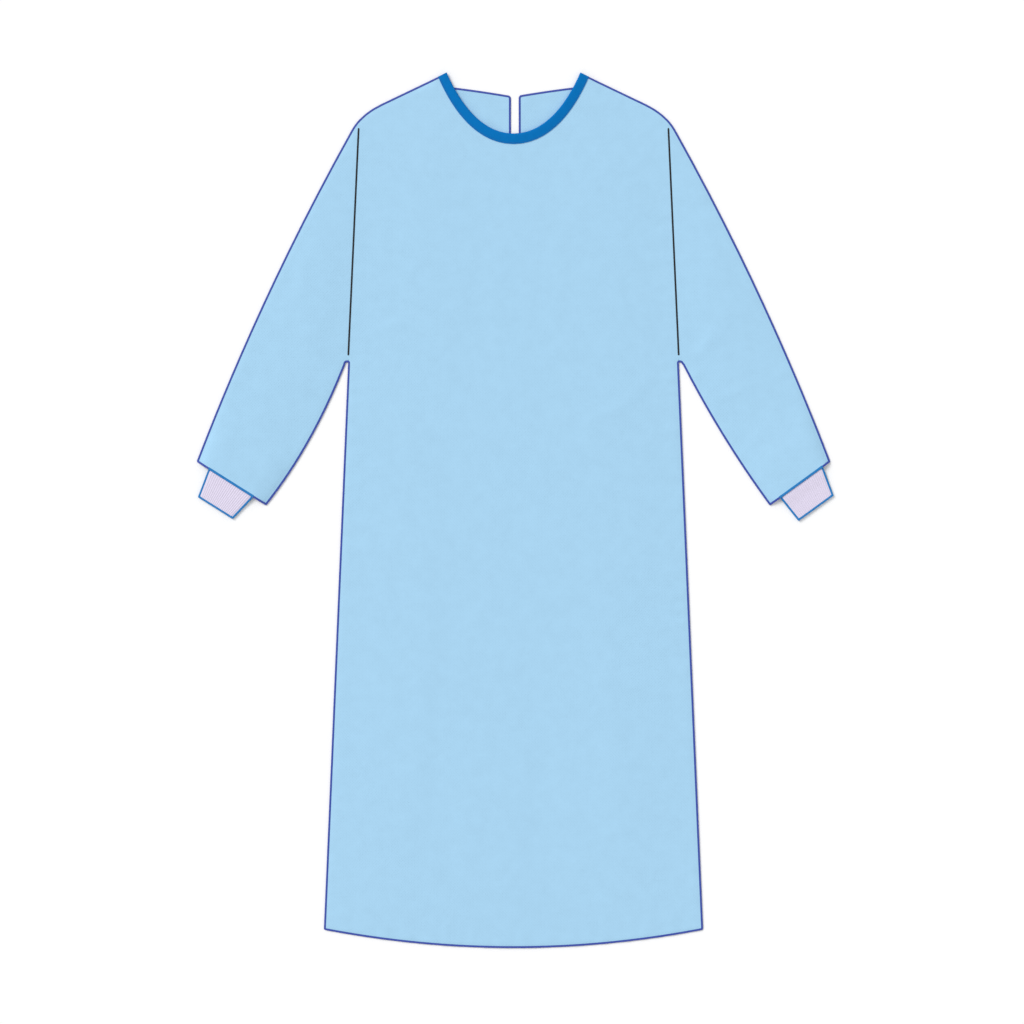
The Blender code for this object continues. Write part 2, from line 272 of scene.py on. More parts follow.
def eased(values, passes=1):
    """The values, each drawn towards its neighbours' this many times. The ends stay."""
    for _ in range(passes):
        values[1:-1] = (values[:-2] + 2 * values[1:-1] + values[2:]) / 4
    return values


def even(line, spacing, passes=EVEN_PASSES):
    """The line with its points at about this spacing, its facets smoothed away. Its ends stay."""
    at = distances(line)
    wanted = np.linspace(0, at[-1], max(2, round(at[-1] / spacing)) + 1)
    return eased(np.column_stack([np.interp(wanted, at, part) for part in line.T]), passes)


def left_of(line):
    """At each point of the line, the level way to its left: into the cloth, on an edge of a panel."""
    along = np.gradient(line[:, :2], axis=0)
    return unit(np.column_stack([-along[:, 1], along[:, 0], np.zeros(len(line))]))


def raised(line, height):
    """The line with all its points at this height."""
    return np.column_stack([line[:, :2], np.full(len(line), height)])


def level(line, spacing, passes=EVEN_PASSES):
    """The line laid level, with its points at about this spacing."""
    return even(raised(line, 0.0), spacing, passes)


def joined(one, other):
    """Two lines that follow each other as one, in the order in which their ends meet."""
    if np.linalg.norm(one[-1, :2] - other[0, :2]) < np.linalg.norm(other[-1, :2] - one[0, :2]):
        return np.vstack([one, other])
    return np.vstack([other, one])


def until(line, place):
    """How far along the line the point nearest to this place is."""
    return distances(line)[np.linalg.norm(line[:, :2] - place[:2], axis=1).argmin()]


def cut_between(line, start, end):
    """The stretch of the line between these distances along it."""
    at = distances(line)
    inner = line[(at > start) & (at < end)]
    ends = [[np.interp(place, at, part) for part in line.T] for place in (start, end)]
    return np.vstack([ends[0], inner, ends[1]])


# ---------------------------------------------------------------- edges of the frame's nodes


def welded(node):
    """A node's points, each one once, and its triangles."""
    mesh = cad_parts[node].data
    places = np.empty(len(mesh.vertices) * 3, np.float32)
    mesh.vertices.foreach_get("co", places)
    mesh.calc_loop_triangles()
    corners = np.empty(len(mesh.loop_triangles) * 3, np.int32)
    mesh.loop_triangles.foreach_get("vertices", corners)
    points, which = np.unique(places.reshape(-1, 3).round(6), axis=0, return_inverse=True)
    return points.astype(float), which.reshape(-1)[corners].reshape(-1, 3)


def outline(node):
    """The edge of a node's upper side, anticlockwise as seen from above."""
    points, triangles = welded(node)
    a, b, c = (points[triangles[:, corner]] for corner in range(3))
    faces_up = unit(np.cross(b - a, c - a))[:, 2] > UPWARDS
    steps = {(int(t[i - 1]), int(t[i])) for t in triangles[faces_up] for i in range(3)}
    following = {start: end for start, end in steps if (end, start) not in steps}
    loops = []
    while following:
        loop = [next(iter(sorted(following)))]
        while loop[-1] in following:
            loop.append(following.pop(loop[-1]))
        loops.append(points[loop[:-1]])
    return max(loops, key=area_of)


def area_of(loop):
    x, y = loop[:, 0], loop[:, 1]
    return (x * np.roll(y, -1) - y * np.roll(x, -1)).sum() / 2


# The corners of each kind of node, and the level direction in which each lies furthest out. Those of a
# node on the left are mirrored
CORNERS = {
    "front_panel": {
        "hem_left": (-1, -1), "armhole_left": (-1, 0.3), "neck_left": (-0.2, 1),
        "hem_right": (1, -1), "armhole_right": (1, 0.3), "neck_right": (0.2, 1),
    },
    "back_panel": {"hem": (1, -1), "hem_inner": (-1, -1), "neck": (0, 1), "armhole": (1, 1)},
    "sleeve": {"top": (0, 1), "underarm": (-1, -0.1), "mouth_outer": (1, 0.2), "mouth_inner": (0, -1)},
    "neck_binding": {
        "outer_left": (-1, 0.3), "outer_right": (1, 0.3), "left": (-0.2, 1), "right": (0.2, 1),
    },
}


class Edge:
    """The edge of a node, with names for its corners."""

    def __init__(self, node, towards=None):
        """Its corners lie furthest out in the ways of its row of CORNERS, or in these ways."""
        self.loop = outline(node)
        if towards is None:
            kind = next(kind for kind in CORNERS if node.startswith(kind))
            out = SIDES.get(node.split("_")[-1], 1.0)
            towards = {name: (out * x, y) for name, (x, y) in CORNERS[kind].items()}
        self.corners = {
            name: int(np.argmax(self.loop[:, :2] @ np.array(way))) for name, way in towards.items()
        }

    def between(self, start, end, avoiding):
        """From one corner to another, anticlockwise, the way that doesn't pass the third."""
        first, last, other = (self.corners[name] for name in (start, end, avoiding))
        count = len(self.loop)
        way = (first + np.arange((last - first) % count + 1)) % count
        if other in way:
            way = (last + np.arange((first - last) % count + 1)) % count
        return self.loop[way]

    def closed(self, spacing):
        """The whole edge, with more points between its own where those are further apart than this."""
        stretches = []
        for start, end in zip(self.loop, np.roll(self.loop, -1, axis=0)):
            count = math.ceil(np.linalg.norm(end - start) / spacing)
            stretches.append(start + (end - start) * np.arange(count)[:, None] / count)
        return np.concatenate(stretches)


def hem_line():
    return Edge("front_panel").between("hem_right", "hem_left", "neck_right")


def shoulder_line(side):
    return Edge("front_panel").between(f"neck_{side}", f"armhole_{side}", f"hem_{side}")


def side_seam(side):
    """The body's side, from the hem's corner up to the underarm."""
    whole = Edge("front_panel").between(f"hem_{side}", f"armhole_{side}", f"neck_{side}")
    whole = even(whole, MEASURE_STEP, 0)
    sleeve = Edge(f"sleeve_front_{side}")
    reach = until(whole, sleeve.loop[sleeve.corners["underarm"]])
    if whole[0, 1] < whole[-1, 1]:
        return cut_between(whole, 0.0, reach)
    return cut_between(whole, reach, distances(whole)[-1])


def overarm(part, side):
    return Edge(f"sleeve_{part}_{side}").between("top", "mouth_outer", "mouth_inner")


def underarm(part, side):
    return Edge(f"sleeve_{part}_{side}").between("underarm", "mouth_inner", "mouth_outer")


def sleeve_mouth(part, side):
    return Edge(f"sleeve_{part}_{side}").between("mouth_inner", "mouth_outer", "top")


def cuff_edge(side):
    """A cuff's edge. Its way out of the sleeve runs square to the sleeve's mouth."""
    mouth = sleeve_mouth("front", side)
    along = unit(mouth[-1, :2] - mouth[0, :2])
    out = -left_of(mouth)[0, :2]
    return Edge(f"cuff_{side}", {
        "start": out - along, "end": out + along, "inner_start": -out - along, "inner_end": along - out,
    })


# ---------------------------------------------------------------- cloth


def tree_of(points):
    tree = KDTree(len(points))
    for number, (x, y) in enumerate(points[:, :2]):
        tree.insert((x, y, 0.0), number)
    tree.balance()
    return tree


def nearest(tree, places):
    """For each place, which point of the tree is nearest, and how far away it is."""
    found = [tree.find((x, y, 0.0)) for x, y in places]
    return np.array([f[1] for f in found]), np.array([f[2] for f in found])


def staggered(low, high, spacing):
    """Rows of points that fill a box, each row moved half a step along from the one before."""
    rise = spacing * math.sqrt(3) / 2
    rows = []
    for row in range(int((high[1] - low[1]) / rise) + 1):
        across = np.arange(low[0] + (row % 2) * spacing / 2, high[0], spacing)
        rows.append(np.column_stack([across, np.full(len(across), low[1] + row * rise)]))
    return np.concatenate(rows)


def within(loop, places):
    """Which of the places lie within a closed line."""
    start, end = loop, np.roll(loop, -1, axis=0)
    inside = np.zeros(len(places), bool)
    for (ax, ay), (bx, by) in zip(start, end):
        if ay != by:
            crosses = (places[:, 1] < ay) != (places[:, 1] < by)
            inside ^= crosses & (places[:, 0] < ax + (places[:, 1] - ay) * (bx - ax) / (by - ay))
    return inside


def filled(edge):
    """Triangles that fill the edge, finer along it, as places and corners."""
    tree = tree_of(edge)
    low, high = edge.min(axis=0), edge.max(axis=0)
    places = [edge]
    bands = ((FINE_SPACING, LEAST_TO_EDGE * FINE_SPACING, FINE_BAND), (COARSE_SPACING, FINE_BAND, math.inf))
    for spacing, least, most in bands:
        points = staggered(low, high, spacing)
        points = points[within(edge, points)]
        _, away = nearest(tree, points)
        places.append(points[(away > least) & (away <= most)])
    places = np.concatenate(places)
    ring = [(i, (i + 1) % len(edge)) for i in range(len(edge))]
    # Type 1 asks for the triangles inside the ring, and still gives some outside it
    found = delaunay_2d_cdt([Vector(p) for p in places], ring, [], 1, SAME_PLACE, False)
    places, triangles = np.array([p[:] for p in found[0]]), np.array(found[2])
    a, b, c = places[triangles].transpose(1, 0, 2)
    twice_area = (b - a)[:, 0] * (c - a)[:, 1] - (b - a)[:, 1] * (c - a)[:, 0]
    triangles = triangles[within(edge, (a + b + c) / 3) & (twice_area > SLIVER)]
    used, corners = np.unique(triangles, return_inverse=True)
    return places[used], corners.reshape(-1, 3)


def inset(loop, by):
    """A closed line moved inwards, its corners by their bisectors."""
    before = unit(loop - np.roll(loop, 1, axis=0))
    after = unit(np.roll(loop, -1, axis=0) - loop)
    middle = unit(before + after)
    reach = by / np.maximum((middle * after).sum(axis=1, keepdims=True), 1 / MOST_MITRE)
    return loop + reach * np.column_stack([-middle[:, 1], middle[:, 0]])


def underside(node, places):
    """The height of a node's underside at these places."""
    points, triangles = welded(node)
    tree = BVHTree.FromPolygons(points.tolist(), triangles.tolist(), all_triangles=True)
    below = CAD_BOX[0].z - 1.0
    heights = []
    for x, y in places:
        hit = tree.ray_cast(Vector((x, y, below)), UP)[0]
        heights.append((hit or tree.find_nearest(Vector((x, y, 0.0)))[0]).z)
    return np.array(heights)


def relaxed(heights, triangles, held):
    """The heights with their facets smoothed away, apart from those held."""
    pairs = np.concatenate([triangles[:, [0, 1]], triangles[:, [1, 2]], triangles[:, [2, 0]]])
    pairs = np.unique(np.sort(pairs, axis=1), axis=0)
    ends = np.concatenate([pairs[:, 0], pairs[:, 1]])
    others = np.concatenate([pairs[:, 1], pairs[:, 0]])
    count = np.bincount(ends, minlength=len(heights))
    for _ in range(SMOOTH_PASSES):
        average = np.bincount(ends, heights[others], len(heights)) / count
        heights = np.where(held, heights, average)
    return heights


def ripple(along, seed, shortest, longest):
    """An uneven wave between -1 and 1, of waves between these lengths."""
    draw = np.random.default_rng(seed)
    lengths = draw.uniform(shortest, longest, (RIPPLE_WAVES, 1))
    starts = draw.uniform(0, math.tau, (RIPPLE_WAVES, 1))
    wave = np.sin(math.tau * along / lengths + starts).sum(axis=0)
    return wave / np.abs(wave).max()


def crease(places, start, end, bow, height, half_width):
    """A soft ridge or trough along a bowed line, highest in its middle."""
    start, end = np.array(start), np.array(end)
    share = np.linspace(0, 1, CREASE_POINTS)[:, None]
    aside = bow * np.array([start[1] - end[1], end[0] - start[0]]) / np.linalg.norm(end - start)
    line = start + (end - start) * share + aside * np.sin(math.pi * share)
    away = np.linalg.norm(places[:, None] - line, axis=-1)
    which = away.argmin(axis=1)
    fade = np.sin(math.pi * share[which, 0]) ** CREASE_FADE
    return height * fade * np.exp(-((away.min(axis=1) / half_width) ** 2))


def placed(name, data):
    """A new object of this data, in the scene."""
    thing = bpy.data.objects.new(name, data)
    bpy.context.scene.collection.objects.link(thing)
    return thing


def new_mesh(name, points, faces, material, uv=None):
    """A smooth mesh object in the gown's frame."""
    mesh = bpy.data.meshes.new(name)
    mesh.from_pydata(points, [], faces)
    if uv is not None:
        mesh.uv_layers.new(name="Along").uv.foreach_set("vector", np.asarray(uv, np.float32).ravel())
    mesh.shade_smooth()
    mesh.set_sharp_from_angle(angle=SHARP_ANGLE)
    mesh.materials.append(material)
    piece = placed(name, mesh)
    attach(piece, "root")
    return piece


def shell(name, places, triangles, under, thickness, material):
    """A closed thin cloth over these places, with its underside at these heights."""
    count = len(places)
    points = np.vstack([
        np.column_stack([places, under + thickness]), np.column_stack([places, under]),
    ])
    steps = {(int(t[i - 1]), int(t[i])) for t in triangles for i in range(3)}
    rim = [(b, a, a + count, b + count) for a, b in sorted(steps) if (b, a) not in steps]
    faces = [*triangles.tolist(), *(triangles[:, ::-1] + count).tolist(), *rim]
    return new_mesh(name, points.tolist(), faces, material)


def walled(name, skins, maps, material, ring=False):
    """A closed shell between two skins, each of rows of points, with a UV map for each of them.

    By the right hand's turn from along a row to the next row, the first skin faces along the thumb and
    the second one against it. In a ring, the ends of a row meet."""
    rows, columns = skins[0].shape[:2]
    steps = columns if ring else columns - 1
    faces, uv = [], []

    def quad(*corners):
        corners = [(skin, row, column % columns) for skin, row, column in corners]
        faces.append(tuple((skin * rows + row) * columns + column for skin, row, column in corners))
        uv.extend(maps[skin][row, column] for skin, row, column in corners)

    for row in range(rows - 1):
        for column in range(steps):
            right, far = column + 1, row + 1
            quad((0, row, column), (0, row, right), (0, far, right), (0, far, column))
            quad((1, row, column), (1, far, column), (1, far, right), (1, row, right))
    for row in range(0 if ring else rows - 1):
        quad((0, row, 0), (0, row + 1, 0), (1, row + 1, 0), (1, row, 0))
        quad((0, row, steps), (1, row, steps), (1, row + 1, steps), (0, row + 1, steps))
    for column in range(steps):
        right, end = column + 1, rows - 1
        quad((0, 0, column), (1, 0, column), (1, 0, right), (0, 0, right))
        quad((0, end, column), (0, end, right), (1, end, right), (1, end, column))
    points = np.concatenate([skin.reshape(-1, 3) for skin in skins])
    return new_mesh(name, points.tolist(), faces, material, uv)


def distance_to(lines, places):
    """How far each place is from the nearest of these lines."""
    points = np.concatenate([even(line, MEASURE_STEP, 0) for line in lines])
    return nearest(tree_of(points), places)[1]


def cloth(name, node, material, on_floor=False, seams=(), hem=(), neckline=None):
    """The cloth of one panel: on its solid's form, with puckers along its threads and its creases.

    A front piece comes down to the back at its seams, and to the floor past the back piece's hem. Under
    the neck tape it lies smooth."""
    settings = bpy.context.scene.gown_cloth
    edge = inset(Edge(node).closed(EDGE_SPACING)[:, :2], EDGE_INSET)
    places, triangles = filled(edge)
    which, away = nearest(tree_of(edge), places)
    heights = relaxed(underside(node, places), triangles, away < EDGE_INSET)
    from_tape = 1.0
    if neckline is not None:
        from_tape = smooth((distance_to([neckline], places) - TAPE_REACH) / TAPE_FADE)
    for lines, rest, reach in ((seams, SEAM_REST, SEAM_REACH), (hem, HEM_REST, HEM_REACH)):
        if len(lines):
            share = (1 - smooth(distance_to(lines, places) / reach)) * from_tape
            heights = heights + (rest - heights) * share
    along = distances(edge)[which]
    pucker = ripple(along, PUCKER_SEEDS[node], settings.pucker_shortest, settings.pucker_longest)
    reach = away / settings.pucker_reach
    fade = smooth(reach / PUCKER_RISE) * np.exp(-(reach**2))
    if on_floor:
        heights = heights + settings.edge_lift * (1 - smooth(away / LIFT_REACH))
    if node != "front_panel":
        # What lies right under it leaves room for the puckers on its upper side only
        pucker = (pucker + 1) / 2
    heights = heights + settings.pucker_height * pucker * fade * from_tape
    for row in CREASES.get(node, ()):
        heights = heights + crease(places, **dict(zip(CREASE_COLUMNS, row)))
    piece = shell(name, places, triangles, heights, settings.thickness, material)
    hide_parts(node)
    return piece, edge


# ---------------------------------------------------------------- threads


def bead(line, width, height, pitch, groove=0.22, slant=0.3, sides=THREAD_SIDES):
    """Rings round a line of stitches, which lies in the bead's middle: one ridge for each thread that
    crosses it. Its left side is its inner one, where the ridges end in shallower scallops."""
    at = distances(line)
    along = unit(np.gradient(line, axis=0))
    side = unit(np.cross((0.0, 0.0, 1.0), along))
    up = np.cross(along, side)
    turn = np.linspace(0, math.tau, sides, endpoint=False)
    across, rise = (np.sign(w) * np.abs(w) ** THREAD_SQUARENESS for w in (np.cos(turn), np.sin(turn)))
    phase = at[:, None] / pitch + slant * across * np.sign(rise)
    dent = groove * ((1 - np.cos(math.tau * phase)) / 2) ** GROOVE_POWER
    half_width, half_height = width / 2, np.broadcast_to(height, len(line))[:, None] / 2
    tip = np.sqrt(np.clip(np.minimum(at, at[-1] - at) / TIP_LENGTH, LEAST_TIP, 1))[:, None]
    out = tip * across * half_width * (1 - dent * np.where(across > 0, INNER_SCALLOP, 1))
    over = tip * rise * (half_height - dent * np.minimum(half_height, half_width / 2))
    return line[:, None] + out[..., None] * side[:, None] + over[..., None] * up[:, None]


def threads(name, beads, material):
    """Beads of thread as one mesh. Its UV map runs along them and round them, in metres."""
    points, faces, uv = [], [], []
    for rings in beads:
        rows, columns = rings.shape[:2]
        first = len(points)
        points += rings.reshape(-1, 3).tolist()
        at = distances(rings[:, 0])
        round_it = distances(np.vstack([rings[rows // 2], rings[rows // 2, :1]]))
        for row in range(rows - 1):
            for column in range(columns):
                after = (column + 1) % columns
                here, there = first + row * columns, first + (row + 1) * columns
                faces.append((here + column, here + after, there + after, there + column))
                uv += [
                    (at[row], round_it[column]), (at[row], round_it[column + 1]),
                    (at[row + 1], round_it[column + 1]), (at[row + 1], round_it[column]),
                ]
        last = first + (rows - 1) * columns
        faces += [tuple(range(first + columns - 1, first - 1, -1)), tuple(range(last, last + columns))]
        uv += [(at[0], v) for v in round_it[:-1]] + [(at[-1], v) for v in round_it[:-1]]
    return new_mesh(name, points, faces, material, uv)


def cloth_height(names, line):
    """The height of the upper side of these pieces of cloth, nearest to each point of the line."""
    places, faces = [], []
    for name in names:
        mesh = bpy.data.objects[name].data
        faces += [[corner + len(places) for corner in face.vertices] for face in mesh.polygons]
        places += [point.co for point in mesh.vertices]
    tree = BVHTree.FromPolygons(places, faces)
    above = CAD_BOX[1].z
    heights = [tree.find_nearest(Vector((x, y, above)))[0].z for x, y in line[:, :2]]
    return eased(np.array(heights), HEIGHT_PASSES)


def overlocked(line, cloths, down_to_floor=False, passes=EVEN_PASSES):
    """The bead of an overlocked edge, with the needle's line of stitches along its inner side.

    It binds the edge of one layer of cloth, or of all the layers down to the floor."""
    settings = bpy.context.scene.gown_threads
    line = level(line, settings.pitch / SAMPLES_A_STITCH, passes)
    inwards = left_of(line)
    middle = line + inwards * (settings.width / 2 - settings.proud)
    tops = [cloth_height(cloths, places) for places in (line + inwards * EDGE_INSET, middle)]
    top = np.maximum(*tops) + settings.over_cloth
    bottom = np.full(len(line), CAD_BOX[0].z)
    if not down_to_floor:
        under = np.minimum(*tops) - bpy.context.scene.gown_cloth.thickness
        bottom = np.maximum(bottom, under - settings.over_cloth)
    middle[:, 2] = (top + bottom) / 2
    body = bead(middle, settings.width, top - bottom, settings.pitch)
    needle = middle + inwards * (settings.width - NEEDLE_WIDTH) / 2
    needle[:, 2] = top - NEEDLE_WIDTH / 2
    needle = even(needle, settings.needle_pitch / SAMPLES_A_STITCH, 0)
    return [
        body,
        bead(
            needle, NEEDLE_WIDTH, NEEDLE_WIDTH, settings.needle_pitch, groove=0.6, slant=0.0,
            sides=NEEDLE_SIDES,
        ),
    ]


# ---------------------------------------------------------------- materials
#
# A texture's scale is 1 over its size in metres


def add(tree, kind, inputs=(), output=0, **settings):
    """Adds a shader node with its settings, and gives one of its outputs.

    An input is a number, a colour, a vector or another node's output, which is linked."""
    made = tree.nodes.new("ShaderNode" + kind)
    for name, value in settings.items():
        setattr(made, name, value)
    for socket, value in inputs.items() if isinstance(inputs, dict) else enumerate(inputs):
        if isinstance(value, bpy.types.NodeSocket):
            tree.links.new(value, made.inputs[socket])
        else:
            made.inputs[socket].default_value = value
    return made.outputs[output]


def new_material(name, **values):
    """A Principled material with these values on the shader's own sockets, and its tree."""
    material = bpy.data.materials.new(name)
    material.use_nodes = True
    tree = material.node_tree
    shader = tree.nodes["Principled BSDF"]
    for socket, value in values.items():
        shader.inputs[socket.replace("_", " ")].default_value = value
    return material, tree


def finished(material, base, shades, tone, roughness, height, depth):
    """The material with its base colour from a darker to a lighter shade by the tone, its roughness, and
    relief of this depth in metres where the height runs from 0 to 1."""
    tree = material.node_tree
    dark, light = ((*(min(1.0, part * shade) for part in base), 1.0) for shade in shades)
    sockets = {
        "Base Color": add(tree, "Mix", {0: tone, 6: dark, 7: light}, 2, data_type="RGBA"),
        "Roughness": roughness,
        "Normal": add(tree, "Bump", {"Strength": 1.0, "Distance": depth, "Height": height}),
    }
    for name, source in sockets.items():
        tree.links.new(source, tree.nodes["Principled BSDF"].inputs[name])
    return material


def strands(tree, place, angle, width):
    """Ridges of loose fibre that run roughly at this angle, from 0 to 1."""
    turned = add(
        tree, "Mapping",
        {"Vector": place, "Rotation": (0, 0, math.radians(angle)), "Scale": (0.11, 1.0, 1.0)},
    )
    noise = add(tree, "TexNoise", {"Vector": turned, "Scale": 1 / width, "Detail": 1.5, "Distortion": 0.9})
    off_middle = add(tree, "Math", (add(tree, "Math", (noise, 0.5), operation="SUBTRACT"),),
                     operation="ABSOLUTE")
    return add(tree, "MapRange", {"Value": off_middle, "From Max": 0.2, "To Min": 1.0, "To Max": 0.0})


def spunbond_polypropylene():
    """Spunbond polypropylene nonwoven, calendered: matt cloth of loose fibres laid every way, pressed
    together at a lattice of small diamonds. The real diamonds are about 1.5 mm apart and the fibres
    0.02 mm wide, too fine to show, so both are drawn coarser."""
    settings = bpy.context.scene.gown_cloth
    material, tree = new_material(
        "spunbond_polypropylene", IOR=1.49, Sheen_Weight=0.05, Sheen_Roughness=0.5,
        Specular_IOR_Level=0.3,
    )
    place = add(tree, "TexCoord", output="Object")
    clumps = add(
        tree, "TexNoise",
        {"Vector": place, "Scale": 1 / settings.clump_size, "Detail": 4.0, "Roughness": 0.62},
    )
    # The web stretches a little as it is wound, so the lattice isn't quite straight
    wander = add(tree, "TexNoise", {"Vector": place, "Scale": 1 / settings.wander_length}, "Color")
    reach = (settings.wander,) * 3
    moved = add(tree, "VectorMath", (wander, reach, place), operation="MULTIPLY_ADD")
    lattice = add(tree, "Mapping", {"Vector": moved, "Rotation": (0, 0, math.radians(45))})
    bonds = add(
        tree, "TexVoronoi", {"Vector": lattice, "Scale": 1 / settings.bond_pitch, "Randomness": 0.0},
        "Distance", voronoi_dimensions="2D", distance="CHEBYCHEV",
    )
    pressed = add(
        tree, "MapRange", {"Value": bonds, "From Min": 0.15, "From Max": 0.25, "To Min": 1.0, "To Max": 0.0},
        interpolation_type="SMOOTHSTEP",
    )
    pressed = add(
        tree, "Math", (pressed, add(tree, "Mix", {0: clumps, 2: 1.25, 3: 0.45})), operation="MULTIPLY"
    )
    fibres = strands(tree, place, 12, settings.fibre_width)
    for angle in (74, -48):
        other = strands(tree, place, angle, settings.fibre_width)
        fibres = add(tree, "Math", (fibres, other), operation="MAXIMUM")
    loose = add(tree, "Mix", {0: pressed, 2: fibres, 3: 0.0})
    return finished(
        material, settings.colour, (0.90, 1.04), add(tree, "Mix", {0: 0.4, 2: clumps, 3: loose}),
        add(tree, "Mix", {0: pressed, 2: 0.82, 3: 0.58}),
        add(tree, "Math", (loose, 0.5, add(tree, "Math", (1.0, pressed), operation="SUBTRACT")),
            operation="MULTIPLY_ADD"),
        0.00009,
    )


def spun_polyester(name, base):
    """Spun polyester sewing thread, twisted from two plies: soft gloss, with a fine slanting twist."""
    material, tree = new_material(
        name, IOR=1.53, Sheen_Weight=0.04, Sheen_Roughness=0.4, Specular_IOR_Level=0.3
    )
    along = add(tree, "UVMap", uv_map="Along")
    twist = add(
        tree, "TexWave", {"Vector": along, "Scale": 1 / 0.0022, "Distortion": 0.6, "Detail": 1.0}, "Fac",
        bands_direction="DIAGONAL",
    )
    place = add(tree, "TexCoord", output="Object")
    uneven = add(tree, "TexNoise", {"Vector": place, "Scale": 1 / 0.006, "Detail": 2.0})
    return finished(
        material, base, (0.84, 1.16), add(tree, "Mix", {0: 0.5, 2: twist, 3: uneven}),
        add(tree, "Mix", {0: twist, 2: 0.62, 3: 0.48}), twist, 0.00010,
    )


def bias_tape():
    """Polycotton bias tape: a plain weave cut at 45 degrees, so its yarns cross the strip aslant. The
    real yarns are about 0.4 mm apart, too close to show, so they are drawn wider."""
    settings = bpy.context.scene.gown_binding
    material, tree = new_material("polycotton_bias_tape", IOR=1.5, Specular_IOR_Level=0.08)
    along = add(tree, "UVMap", uv_map="Along")
    aslant = add(tree, "Mapping", {"Vector": along, "Rotation": (0, 0, math.radians(45))})
    # A wave texture's bands lie tau / 20 of its unit apart
    scale = math.tau / 20 / settings.weave_pitch
    warp, weft = (
        add(
            tree, "TexWave", {"Vector": aslant, "Scale": scale, "Distortion": 0.4, "Detail": 1.0}, "Fac",
            bands_direction=way,
        )
        for way in ("X", "Y")
    )
    weave = add(tree, "Math", (warp, weft), operation="MULTIPLY")
    place = add(tree, "TexCoord", output="Object")
    worn = add(tree, "TexNoise", {"Vector": place, "Scale": 1 / 0.009, "Detail": 3.0})
    return finished(
        material, settings.colour, (0.86, 1.18), add(tree, "Mix", {0: 0.4, 2: weave, 3: worn}),
        add(tree, "Mix", {0: weave, 2: 0.86, 3: 0.70}), weave, 0.00015,
    )


def rib_knit():
    """Polyester rib knit: soft yarn in columns of V stitches. Its colour is painted darker between the ribs,
    as painted shade in the grooves there.
    """
    settings = bpy.context.scene.gown_cuffs
    material, tree = new_material(
        "polyester_rib_knit", IOR=1.5, Sheen_Weight=0.2, Sheen_Roughness=0.6, Specular_IOR_Level=0.3
    )
    # U counts the ribs and V is in metres
    along = add(tree, "UVMap", uv_map="Along")
    rib = add(tree, "Math", (add(tree, "SeparateXYZ", (along,)),), operation="FRACT")
    # 1 at the middle of a rib, and 0 between two. In the colour this paints shade between the ribs
    crest = add(tree, "Math", (rib, 0.5), operation="PINGPONG")
    crest = add(tree, "Math", (crest, 2.0), operation="MULTIPLY")
    up = add(tree, "SeparateXYZ", (along,), 1)
    rows = add(tree, "Math", (up, settings.row_height), operation="DIVIDE")
    legs = add(tree, "Math", (crest, -0.75, rows), operation="MULTIPLY_ADD")
    slanted = add(tree, "Math", (add(tree, "Math", (legs, math.tau), operation="MULTIPLY"),),
                  operation="SINE")
    loops = add(tree, "MapRange", {"Value": slanted, "From Min": -1.0})
    place = add(tree, "TexCoord", output="Object")
    fuzz = add(tree, "TexNoise", {"Vector": place, "Scale": 1 / 0.0012, "Detail": 2.0})
    # The colour mixes painted shade between the ribs (the crest) with the pattern of the V stitches (the
    # loops)
    return finished(
        material, settings.colour, (0.99, 1.15), add(tree, "Mix", {0: 0.4, 2: crest, 3: loops}),
        add(tree, "Mix", {0: fuzz, 2: 0.82, 3: 0.98}),
        add(tree, "Math", (fuzz, 0.5, loops), operation="MULTIPLY_ADD"), 0.00022,
    )


def painted_floor():
    """Matt emulsion on a smooth board: nearly white, with the faintest unevenness of the roller."""
    material, tree = new_material("matt_emulsion_paint", Specular_IOR_Level=0.2)
    place = add(tree, "TexCoord", output="Object")
    roller = add(tree, "TexNoise", {"Vector": place, "Scale": 1 / 0.025, "Detail": 2.0})
    base = bpy.context.scene.gown_stage.floor_colour
    rough = add(tree, "Mix", {0: roller, 2: 0.85, 3: 0.95})
    return finished(material, base, (0.995, 1.005), roller, rough, roller, 0.00001)


def material_of(name, make):
    """The material of this name, made the first time it is asked for."""
    return bpy.data.materials.get(name) or make()


def thread(use):
    """The thread of the overlock, the cuffs, the armholes or the binding, or the one that matches the
    cloth."""
    scene = bpy.context.scene
    colours = {
        "overlock": scene.gown_threads.overlock_colour,
        "cuff": scene.gown_threads.cuff_colour,
        "armhole": scene.gown_threads.armhole_colour,
        "matching": scene.gown_cloth.colour,
        "binding": scene.gown_binding.stitch_colour,
    }
    name = f"spun_polyester_{use}_thread"
    return material_of(name, lambda: spun_polyester(name, colours[use]))


# ---------------------------------------------------------------- operators


